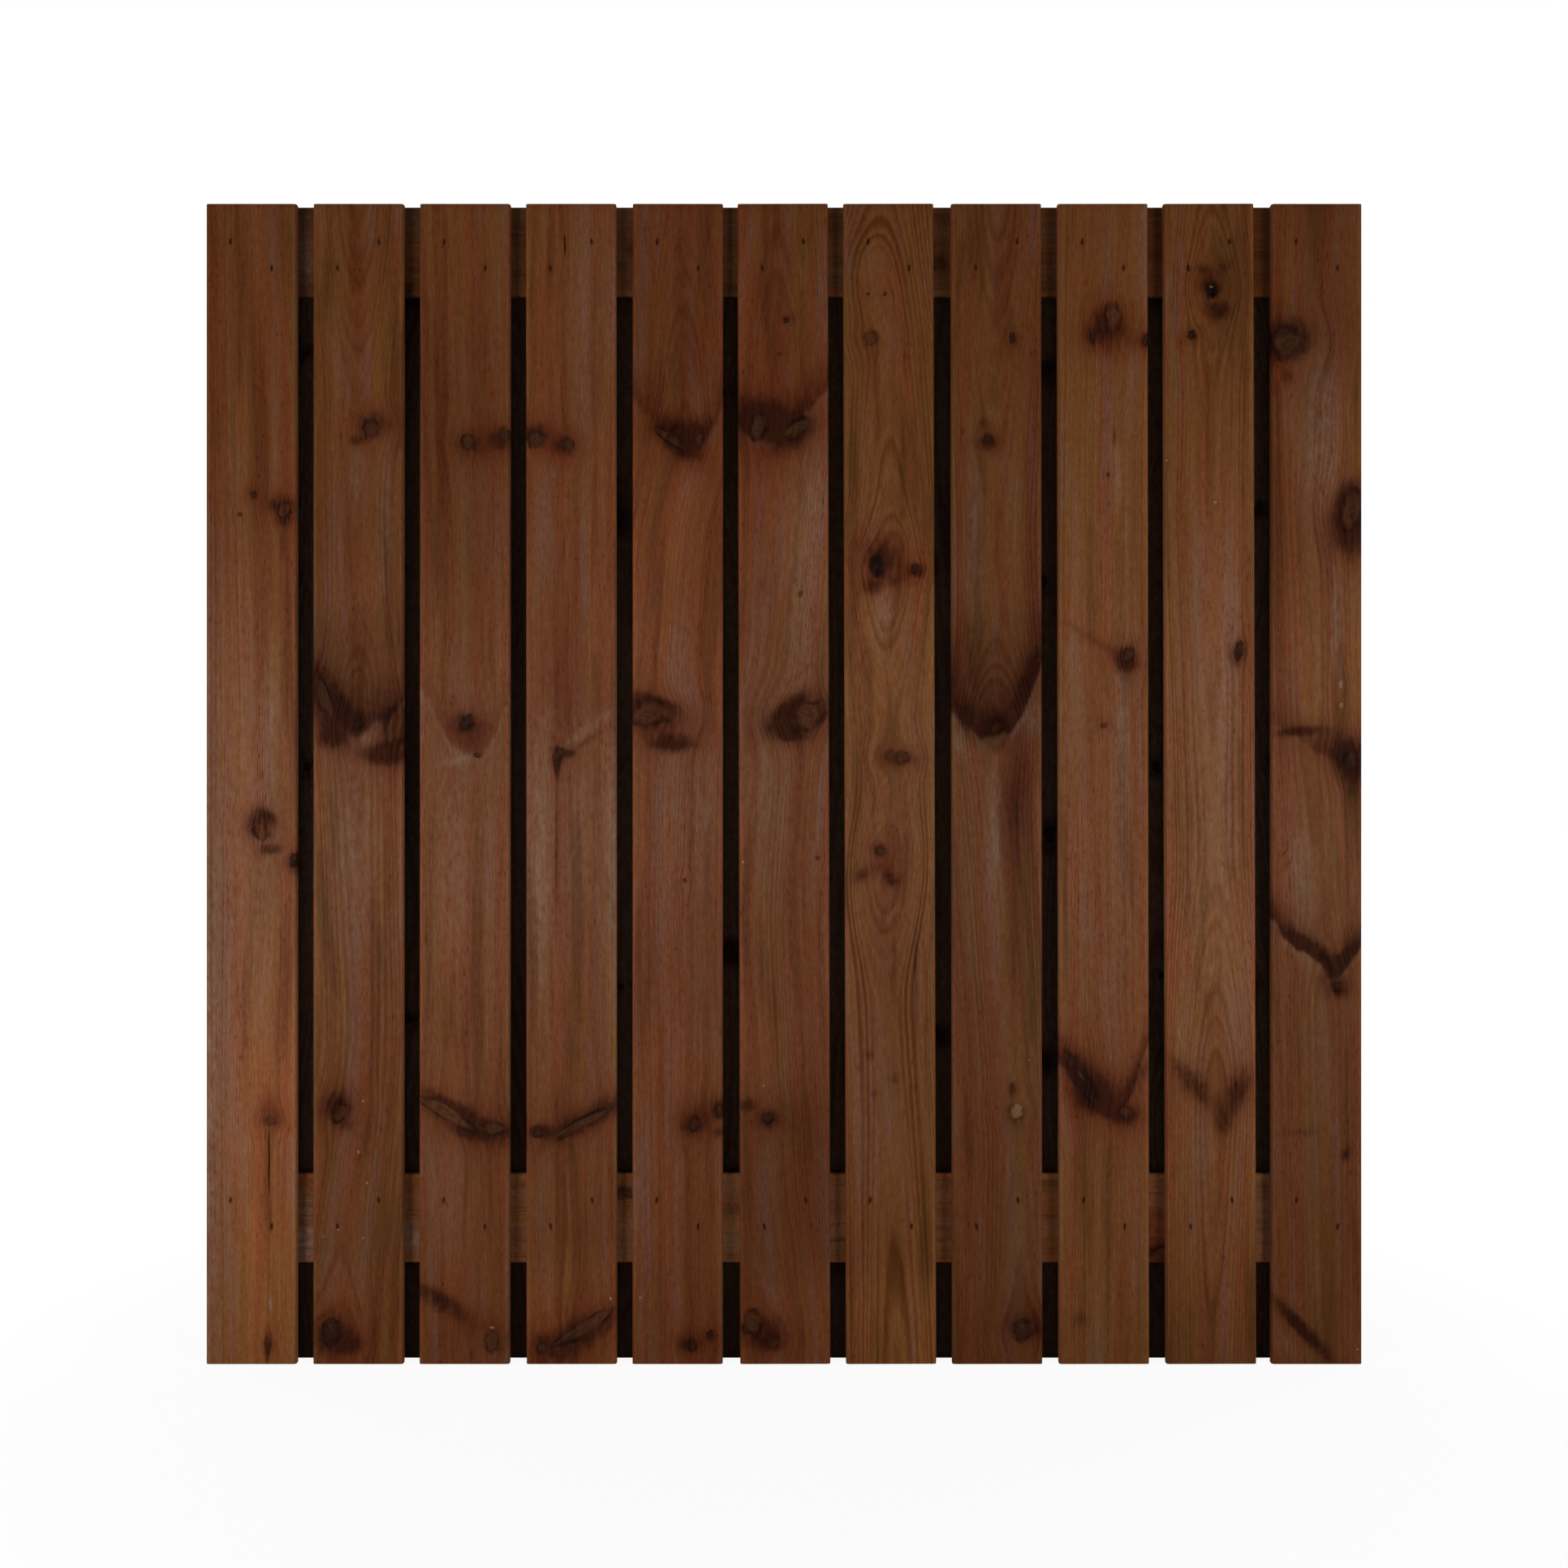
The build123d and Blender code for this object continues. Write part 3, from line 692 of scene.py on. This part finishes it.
# Front board 4: straight grain, a short drying check at the top and two spike knots rising to the right
front_board(4, 0.0, 1.0, Wood(
    heart_line=[(0, 95, 40), (900, 88, 45), (1800, 92, 30)],
    ring=3.2, tone=0.94, warmth=0.05, contrast=-0.5,
    knots=[
        Knot(-54, 1434, 28, 28, 0, 0.6, 0.8), Knot(-5, 1427, 20, 23, 0, 0.5, 0.8),
        Knot(-20, 946, 15, 22, 20, 0.5, 0.4), Knot(19, 376, 18, 110, 62, 0.3, 0.9),
        Knot(-51, 359, 22, 13, 0, 0.7, 0.6), Knot(25, 60, 28, 112, 58, 0.3, 0.9),
        Knot(61, 102, 5, 5, 0, -1, 0), Knot(-46, 25, 14, 20, 0, 0.6, 0.7)],
    stains=[
        Stain(0, 900, 300, 2600, 0, 0, 0.25), Stain(-10, 1269, 7, 101, 0, 0.4),
        Stain(28, 968, 14, 90, 54, 0.5), Stain(25, 985, 13, 95, 54, 0, 0, 0.38),
        Stain(-23, 790, 7, 330, 0, 0.7), Stain(-51, 359, 30, 20, 0, 0.6), Stain(-25, 15, 12, 12, 0, 0.6),
        Stain(-42, 1600, 50, 340, 0, 0.1, 0.1), Stain(25, 1600, 60, 380, 0, 0, 0, 0.12),
        Stain(10, 820, 70, 300, 0, 0, 0, 0.18), Stain(40, 600, 30, 400, 0, 0, 0.3),
        Stain(-20, 400, 60, 80, 0, 0.2, 0.2), Stain(-12, 950, 44, 12, 16, 0.7, 0.4),
        Stain(-22, 932, 12, 40, 0, 0.9), Stain(-50, 790, 36, 400, 0, 0, 0, 0.4),
        Stain(63, 790, 22, 420, 0, 0.2, 0, 0.4), Stain(-15, 1060, 90, 220, 0, 0.1, 0.6),
        Stain(-10, 820, 24, 300, 0, 0, 0.5)],
    patches=[Patch(0, 60, 300, 200, 0.32), Patch(-10, 1700, 200, 300, 0.1)]),
    faults=[Fault(-9.5, 1736, 2.4, 34, 4.8)])

# Front board 5, reddish: pointed arches of grain at the top, a pair of knots and one big one
front_board(5, 0.5, 0.0, Wood(
    heart_line=[
        (0, -60, 40), (700, -62, 42), (1000, -55, 44), (1300, -30, 44), (1440, 8, 46), (1560, 9, 54),
        (1800, 9, 72)],
    ring=3.6, tone=0.97, warmth=0.25, contrast=0.8,
    knots=[
        Knot(-11, 1436, 16, 56, -54, 0.4, 0.9), Knot(34, 1435, 13, 23, 20, 0.4, 0.9),
        Knot(-44, 1010, 60, 42, 12, 0.1, 0.7), Knot(11, 751, 8, 8, 0, 0.5, 0.2),
        Knot(27, 374, 16, 24, 0, 0.5, 0.9), Knot(65, 394, 20, 23, 0, 0.7, 0.8),
        Knot(23, 28, 16, 16, 0, 0.4, 0.7), Knot(51, 48, 11, 15, 0, 0.8, 0.5),
        Knot(-58, 103, 4, 4, 0, -1, 0)],
    stains=[
        Stain(-8, 962, 76, 26, 0, 0.9), Stain(-10, 990, 140, 90, 0, 0.2, 0.4),
        Stain(30, 385, 130, 80, 0, 0.15, 0.4), Stain(-33, 1027, 78, 18, 20, 0.7),
        Stain(67, 517, 10, 18, 0, 0.5), Stain(64, 360, 20, 18, 0, 0.6),
        Stain(9, 1640, 40, 320, 0, 0, 0.5), Stain(10, 1450, 90, 40, 0, 0.5, 0.2),
        Stain(30, 1560, 50, 120, 0, 0.15, 0.3), Stain(35, 860, 50, 240, 0, 0, 0, 0.22),
        Stain(-30, 600, 50, 200, 0, 0.1), Stain(20, 40, 60, 50, 0, 0.2, 0.3)],
    patches=[
        Patch(0, 1640, 300, 420, -0.14), Patch(0, 1200, 260, 400, 0.14), Patch(0, 620, 300, 240, -0.12)],
    cups=[Cup(16, 1418, 66, 95, 1.3, 60, 0.3, 0.6, 0)]))

# Front board 6: two knots like wings below a red flame, and a knot wing halfway down
front_board(6, -2.0, 2.0, Wood(
    heart_line=[
        (0, -20, 50), (300, -40, 60), (700, -60, 60), (1000, -40, 60), (1350, -15, 58), (1480, -12, 50),
        (1800, -10, 70)],
    ring=3.8, tone=0.9, warmth=0.15, contrast=0.75,
    knots=[
        Knot(6, 1619, 10, 10, 0, 0.8, 0.4), Knot(-6, 1567, 8, 8, 0, 0.3, 0.3),
        Knot(-39, 1454, 28, 42, 0, 0.35, 1.0), Knot(24, 1455, 26, 56, 55, 0.35, 1.0),
        Knot(26, 1195, 9, 12, 0, 0.0, 0.15), Knot(38, 1008, 66, 44, -25, 0.05, 0.6),
        Knot(-64, 779, 4, 4, 0, -1, 0), Knot(52, 785, 8, 9, 0, 0.3, 0.2), Knot(-33, 432, 4, 4, 0, -1, 0),
        Knot(-25, 381, 15, 18, 0, 0.6, 0.8), Knot(-51, 63, 38, 40, 0, 0.2, 0.7),
        Knot(-18, 34, 20, 23, 0, 0.5, 0.6)],
    stains=[
        Stain(-13, 1479, 38, 36, 0, 0.6, 0.5), Stain(10, 978, 60, 22, 10, 0.7),
        Stain(20, 995, 140, 90, 0, 0.2, 0.4), Stain(-10, 385, 130, 80, 0, 0.2, 0.3),
        Stain(-59, 402, 33, 23, 0, 0.7), Stain(8, 1020, 20, 60, 50, 0.9),
        Stain(30, 1180, 50, 400, 0, 0, 0, 0.3), Stain(-30, 1205, 40, 60, 0, 0.12, 0.5),
        Stain(0, 1560, 70, 260, 0, 0.05, 0.35), Stain(50, 1330, 36, 240, 0, 0, 0, 0.3),
        Stain(-40, 1300, 30, 200, 0, 0, 0.3), Stain(-20, 1454, 100, 26, 0, 0.5),
        Stain(-30, 930, 50, 300, 0, 0, 0, 0.2), Stain(10, 600, 60, 300, 0, 0.15),
        Stain(0, 250, 70, 200, 0, 0.1, 0.1)],
    patches=[
        Patch(0, 1280, 300, 240, 0.12), Patch(0, 290, 300, 300, -0.22), Patch(0, 50, 300, 160, 0.15)],
    cups=[Cup(-12, 1432, 40, 75, 1.3, 60, 0.4, 0.65, 0.1)]))

# Front board 7, yellowish, with the boldest grain: arches above an open black knot, and swirls below
front_board(7, -3.5, 1.0, Wood(
    heart_line=[
        (0, 10, 62), (400, 0, 70), (600, -10, 72), (760, -5, 50), (900, 2, 66), (1010, -4, 68),
        (1120, -6, 52), (1235, 0, 38), (1310, 4, 56), (1600, 0, 70), (1690, -22, 62), (1800, -10, 84)],
    ring=4.2, tone=0.98, warmth=-0.12, contrast=1.4,
    knots=[
        Knot(-26, 1591, 26, 26, 0, 0.1, 0.2), Knot(-32, 1660, 6, 8, 0, 0.7, 0.1),
        Knot(-6, 1660, 6, 8, 0, 0.7, 0.1), Knot(-19, 1240, 26, 44, 0, 1.2, 0.7),
        Knot(40, 1235, 15, 17, 0, 0.8, 0.8), Knot(19, 942, 27, 22, 0, 0.1, 0.5),
        Knot(1, 946, 20, 18, 0, 0.0, 0.2), Knot(-15, 796, 14, 16, 30, 0.6, 0.7)],
    stains=[
        Stain(-27, 1205, 36, 26, 0, 0.45, 0.7), Stain(7, 1215, 26, 18, 0, 0.3, 0.6),
        Stain(-46, 758, 30, 26, -30, 0.5, 0.4), Stain(4, 752, 34, 24, 30, 0.55, 0.4),
        Stain(-20, 770, 40, 30, 0, 0.25, 0.5), Stain(-32, 480, 16, 15, 0, 0.4, 0.5),
        Stain(-50, 459, 10, 10, 0, 0.3, 0.5), Stain(-25, 418, 13, 13, 0, 0.3, 0.5),
        Stain(39, 432, 10, 10, 0, 0.3, 0.5), Stain(8, 443, 25, 20, 0, 0.5),
        Stain(-10, 1170, 30, 90, 0, 0, 0, 0.3), Stain(40, 600, 8, 240, 0, 0.4),
        Stain(55, 500, 6, 200, 0, 0.4), Stain(-20, 700, 50, 260, 0, 0.15, 0.2),
        Stain(0, 620, 160, 560, 0, 0.12, 0.3), Stain(-10, 1235, 110, 110, 0, 0.2, 0.5)],
    patches=[Patch(0, 1100, 300, 400, 0.15), Patch(0, 40, 300, 200, 0.4)]),
    faults=[Fault(-18, 1238, 11, 30, 5.3)])

# Front board 8, the darkest: long pointed tongues at the top, maroon flames round a knot halfway down
front_board(8, -1.5, 0.5, Wood(
    heart_line=[
        (0, 38, 55), (400, 30, 66), (900, 0, 60), (1000, -1, 50), (1100, -1, 72), (1300, -4, 76),
        (1500, -2, 68), (1800, 4, 46)],
    ring=4.0, tone=0.82, warmth=0.0, contrast=0.9,
    knots=[
        Knot(25, 1592, 10, 18, 0, 0.8, 0.5), Knot(-14, 1435, 17, 20, 0, 0.6, 0.7),
        Knot(-1, 988, 21, 22, 0, 0.5, 0.8), Knot(29, 394, 25, 26, 0, -0.6, 0.3),
        Knot(50, 472, 3, 5, 0, -1, 0), Knot(39, 55, 36, 38, 0, 0.6, 0.7)],
    stains=[
        Stain(-21, 1459, 18, 15, 0, 0.6), Stain(-34, 1281, 24, 264, 0, 0, 0, 0.4),
        Stain(53, 1260, 30, 271, 0, 0, 0.6), Stain(-59, 1200, 18, 900, 0, 0, 0.5),
        Stain(50, 1061, 26, 80, 20, 0.9), Stain(-48, 1000, 30, 60, -25, 0.9),
        Stain(-10, 962, 90, 36, 0, 0.3), Stain(34, 905, 60, 200, 8, 0.3, 1.3),
        Stain(-56, 958, 16, 46, -10, 0, 0, 0.5), Stain(24, 427, 17, 26, 0, 0.8),
        Stain(5, 1660, 24, 180, 0, 0, 0.6), Stain(30, 780, 50, 330, 0, 0.35, 0.2),
        Stain(-5, 815, 24, 230, 0, 0, 0, 0.4), Stain(30, 370, 40, 70, 0, 0.3),
        Stain(52, 1000, 30, 60, 0, 0, 0, 0.4), Stain(-58, 985, 26, 40, 0, 0, 0, 0.3)],
    patches=[Patch(0, 1075, 300, 200, -0.2), Patch(0, 450, 300, 600, -0.1)],
    cups=[Cup(-1, 978, 44, 112, 2.0, 120, 0.5, 0.75, 0.22)]))

# Front board 9, orange and straight-grained, with an oval ring knot and a dark lens below
front_board(9, -1.5, 1.0, Wood(
    heart_line=[(0, -78, 42), (600, -74, 45), (1400, -84, 36), (1800, -70, 40)],
    ring=3.4, tone=1.07, warmth=-0.05, contrast=0.9,
    knots=[
        Knot(16, 1624, 27, 44, 0, 0.1, 0.7), Knot(-17, 1591, 11, 20, 0, 0.8, 0.6),
        Knot(67, 1589, 13, 20, 0, 0.8, 0.7), Knot(8, 1380, 6, 8, 0, 0.6, 0.3),
        Knot(39, 1101, 19, 26, 0, 0.6, 0.9), Knot(1, 991, 8, 9, 0, 0.3, 0.6),
        Knot(-36, 445, 32, 98, -32, 0.8, 0.6), Knot(34, 391, 20, 21, 0, 0.3, 0.8)],
    stains=[
        Stain(18, 1440, 8, 38, 0, 0.7), Stain(-18, 1125, 16, 100, -58, 0.3, 0.7),
        Stain(29, 996, 18, 176, 0, 0, 0, 0.3), Stain(30, 880, 28, 460, 0, 0, 0, 0.3),
        Stain(38, 1084, 46, 26, 0, 0.3, 0.5), Stain(0, 425, 140, 90, 0, 0.2, 0.5),
        Stain(10, 1608, 90, 100, 0, 0.2, 0.5), Stain(61, 452, 20, 60, 15, 0.5),
        Stain(-45, 278, 13, 126, 0, 0.3), Stain(-38, 70, 32, 34, 0, 0.5),
        Stain(24, 1380, 10, 100, 0, 0, 0, 0.4), Stain(34, 1290, 8, 70, 0, 0, 0, 0.35),
        Stain(-20, 410, 60, 40, 0, 0.4), Stain(40, 1060, 30, 60, 0, 0.3)],
    cups=[Cup(15, 383, 70, 176, 1.5, 40, 0.45, 0.8, 0)]))

# Front board 10, yellowish: an open knot hole near the top and stacked arches of grain below the middle
front_board(10, -2.5, 2.0, Wood(
    heart_line=[
        (0, 0, 50), (430, 8, 40), (760, 9, 66), (1000, 5, 64), (1350, 0, 60), (1560, 4, 60),
        (1665, 6, 46), (1720, 6, 52), (1800, 4, 62)],
    ring=3.8, tone=0.96, warmth=-0.08, contrast=1.1,
    knots=[
        # The knot hole's black heart is partly painted shade in the hollow, and the pale drop at its top is
        # a painted highlight on its upper wall
        Knot(6, 1665, 22, 28, 0, 1.2, 0.8), Knot(5, 1672, 10, 6, 0, -1, 0),
        Knot(-27, 1597, 15, 15, 0, 0.7, 0.5), Knot(-66, 1402, 4, 4, 0, -1, 0),
        Knot(9, 1337, 6, 4, 0, -1, 0), Knot(46, 1109, 14, 33, 10, 0.8, 0.8)],
    stains=[
        Stain(-10, 1698, 36, 24, 25, 0.5, 0.3), Stain(22, 1702, 32, 24, -25, 0.45, 0.3),
        Stain(13, 1629, 46, 32, 0, 0.55, 0.7), Stain(-36, 444, 34, 110, -40, 0.5, 0.3),
        Stain(43, 424, 40, 92, 20, 0.6, 0.3), Stain(10, 1640, 60, 20, 0, 0.4),
        Stain(-10, 860, 60, 560, 0, 0, 0, 0.15), Stain(26, 960, 30, 620, 0, 0, 0, 0.3),
        Stain(40, 1160, 20, 260, 0, 0, 0, 0.2), Stain(18, 372, 36, 54, 0, 0.5, 0.4),
        Stain(0, 425, 140, 100, 0, 0.25, 0.4)],
    patches=[Patch(0, 900, 300, 700, 0.1), Patch(0, 450, 300, 700, 0.14)]),
    faults=[Fault(6, 1666, 12, 20, 5.8)])

# Front board 11, dark: big knots on both edges, and a broad dark V and band in the lower half
front_board(11, 0, 0, Wood(
    heart_line=[
        (0, 20, 60), (600, 10, 58), (700, 5, 70), (1000, -10, 64), (1500, -20, 62), (1800, -10, 60)],
    ring=3.8, tone=0.9, warmth=0.0, contrast=0.7,
    knots=[
        Knot(-45, 1583, 56, 48, -15, 0.45, 0.9), Knot(-46, 1531, 13, 16, 0, 0.0, 0.3),
        Knot(54, 1325, 40, 64, 0, 0.4, 0.9), Knot(51, 938, 26, 34, 0, 0.6, 1.0),
        Knot(32, 587, 13, 16, 0, 0.6, 0.9), Knot(63, 23, 4, 4, 0, -1, 0),
        Knot(37, 1055, 9, 14, 0, -0.7, 0), Knot(38, 1022, 7, 12, 0, -0.7, 0),
        Knot(-43, 281, 6, 15, -20, -0.4, 0)],
    stains=[
        Stain(29, 1156, 18, 176, 0, 0, 0, 0.45), Stain(-32, 981, 76, 14, -5, 0.8),
        Stain(0, 960, 150, 80, 0, 0.2, 0.4), Stain(-18, 650, 20, 105, -62, 1.0),
        Stain(45, 630, 20, 52, 50, 1.0), Stain(-24, 56, 22, 150, -43, 1.1, 0.4),
        Stain(-61, 1454, 16, 680, 0, 0, 0.7), Stain(-46, 30, 20, 60, -43, 0, 0, 0.3),
        Stain(-21, 360, 76, 22, 0, 0.45), Stain(45, 326, 14, 24, 20, 0.7),
        Stain(58, 1335, 50, 76, 0, 0.8, 0.3), Stain(5, 1440, 60, 320, 0, 0, 0, 0.45),
        Stain(50, 1290, 44, 120, 0, 0.4), Stain(55, 900, 34, 120, 0, 0.5),
        Stain(-40, 1590, 60, 60, 0, 0.4), Stain(50, 400, 40, 600, 0, 0.25),
        Stain(-30, 760, 40, 160, 0, 0, 0, 0.2), Stain(20, 600, 60, 40, 0, 0.4)],
    patches=[
        Patch(0, 1700, 300, 400, -0.15), Patch(10, 1100, 240, 240, 0.12), Patch(0, 400, 300, 700, -0.2)],
    cups=[Cup(32, 606, 54, 112, 1.2, 40, 0.6, 0.5, 0.2), Cup(50, 925, 45, 0, 1.0, 60, 0.3, 0.3, 0)]))

# The ten rear boards. The same boards as on the front, nailed on from behind.
# Each stands behind a gap of the front layer and laps its neighbours by more than 50 mm.
REAR_BOARD_COUNT = 10
REAR_FACE_Y = 1.5 * PLANK_THICKNESS
REAR_DETAIL = (8.0, 16.0, 5)
for number in range(1, REAR_BOARD_COUNT + 1):
    rear_middle = (number - (REAR_BOARD_COUNT + 1) / 2) * BOARD_PITCH
    rng = np.random.default_rng(100 + number)
    node = f"rear_board_{number:02d}"
    nails = [(-across, along) for across, along in nails_of(number)]
    tone = rng.uniform(0.78, 1.0)
    warmth = rng.uniform(-0.2, 0.2)
    contrast = rng.uniform(0.7, 1.1)
    make_plank(
        node, FRONT_BOARD_COUNT + number, BOARD_WIDTH, BOARD_LENGTH,
        grown_wood(200 + number, BOARD_LENGTH, tone, warmth, contrast),
        lambda across, depth, along: np.stack([rear_middle - across, REAR_FACE_Y - depth, along], axis=-1),
        REAR_DETAIL, nails)

# The nails. Thin steel wire nails with small flat heads, driven a little below the wood's face.
# Preservative has darkened their heads, so each shows as a dark spot in a torn slit.
nail_steel = bpy.data.materials.new("darkened_steel")
steel = Finish(nail_steel)
steel_place = steel.add("TexCoord", None, "Object")
tarnish = steel.noise(steel_place, 900.0, 3.0)
steel_color = steel.mix(steel.step(tarnish, 0.35, 0.7), srgb(36, 26, 20), srgb(20, 13, 9))
scratches = steel.add("Bump", {"Strength": 0.3, "Distance": 0.0001, "Height": tarnish})
steel_skin = steel.add("BsdfPrincipled", {
    "Base Color": steel_color, "Roughness": 0.5 + 0.3 * tarnish, "Metallic": 0.2, "Specular IOR Level": 0.1,
    "Normal": scratches})
steel.add("OutputMaterial", {"Surface": steel_skin})
for rail_name in RAIL_FOOT:
    for side in ("front", "rear"):
        nail_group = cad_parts[f"{rail_name}_{side}_nails"]
        nail_group.data.materials.clear()
        nail_group.data.materials.append(nail_steel)

# The floor. A pale painted studio floor, wide enough to fill the view, that keeps a faint shadow.
# The camera sees it and the backdrop as white, as on a cut-out product picture.
FLOOR_REACH = 30.0
floor_mesh = bpy.data.meshes.new("floor")
floor_corners = [(FLOOR_REACH * x, FLOOR_REACH * y, 0) for x, y in ((-1, -1), (1, -1), (1, 1), (-1, 1))]
floor_mesh.from_pydata(floor_corners, [], [(0, 1, 2, 3)])
floor = bpy.data.objects.new("floor", floor_mesh)
bpy.context.scene.collection.objects.link(floor)
floor_paint = bpy.data.materials.new("pale_floor")
paint = Finish(floor_paint)


def seen_white(finish):
    """1 where the camera, a mirror or glass sees the surface, and 0 where it only lights the object."""
    path_names = ("Is Camera Ray", "Is Glossy Ray", "Is Transmission Ray")
    seen = sum([finish.add("LightPath", None, name) for name in path_names], 0)
    return finish.add("Clamp", {"Value": seen})


matte = paint.add("BsdfDiffuse", {"Color": (0.72, 0.72, 0.72, 1)})
white = paint.add("Emission", {"Color": (1, 1, 1, 1), "Strength": 1.08})
NEAR_WHITENESS = 0.86
floor_place = paint.add("TexCoord", None, "Object")
from_panel = paint.add("VectorMath", {"Vector": floor_place}, "Value", operation="LENGTH")
whiteness = NEAR_WHITENESS + (1 - NEAR_WHITENESS) * paint.step(from_panel, 0.9, 2.2)
paint.add("OutputMaterial", {"Surface": paint.add("MixShader", {
    "Fac": seen_white(paint) * whiteness, "Shader": matte, "Shader_001": white})})
floor_mesh.materials.append(floor_paint)

# The backdrop. White where the camera, a mirror or glass sees it, and a soft low grey light otherwise.
# It is faint, so that the rear boards stay as dark in the gaps as they are in the photograph.
world = bpy.context.scene.world or bpy.data.worlds.new("studio")
bpy.context.scene.world = world
sky = Finish(world)
AMBIENT = 0.07
sky_light = sky.add("Background", {
    "Color": (1, 1, 1, 1), "Strength": AMBIENT + (1 - AMBIENT) * seen_white(sky)})
sky.add("OutputWorld", {"Surface": sky_light})

# The lamps. Four large soft boxes, two in front of the panel and two behind, each well to its side.
# From there they light the boards and half of the rails, and leave the gaps in shade.
LAMP_HEIGHT = 0.75
LAMP_ASIDE = 2.9
LAMP_BEFORE = 2.3
for side, front, power in ((-1, -1, 76.0), (1, -1, 71.0), (-1, 1, 60.0), (1, 1, 60.0)):
    lamp_data = bpy.data.lights.new("soft_box", "AREA")
    lamp_data.shape = "RECTANGLE"
    lamp_data.size = 1.4
    lamp_data.size_y = 1.2
    lamp_data.energy = power
    lamp = bpy.data.objects.new("soft_box", lamp_data)
    bpy.context.scene.collection.objects.link(lamp)
    lamp.location = (side * LAMP_ASIDE, front * LAMP_BEFORE, LAMP_HEIGHT)
    aim = np.array([0, 0, LAMP_HEIGHT]) - np.array(lamp.location)
    tip = np.arctan2(np.hypot(aim[0], aim[1]), -aim[2])
    turn = np.arctan2(aim[0], -aim[1]) + np.pi
    lamp.rotation_euler = (tip, 0, turn)

# The camera. Square to the panel at half its height, 2.7 m in front of the boards.
# Its view is 2432 mm wide there, as measured against the panel's width in the photograph.
CAMERA_DISTANCE = 2.7
VIEW_WIDTH = 2.4318
SENSOR_WIDTH = 36.0
camera_data = bpy.data.cameras.new("camera")
camera_data.sensor_width = SENSOR_WIDTH
camera_data.lens = SENSOR_WIDTH * CAMERA_DISTANCE / VIEW_WIDTH
camera = bpy.data.objects.new("camera", camera_data)
bpy.context.scene.collection.objects.link(camera)
camera.location = (0, FRONT_FACE_Y * MM - CAMERA_DISTANCE, BOARD_LENGTH * MM / 2)
camera.rotation_euler = (np.pi / 2, 0, 0)
bpy.context.scene.camera = camera
bpy.context.scene.view_settings.view_transform = "Standard"
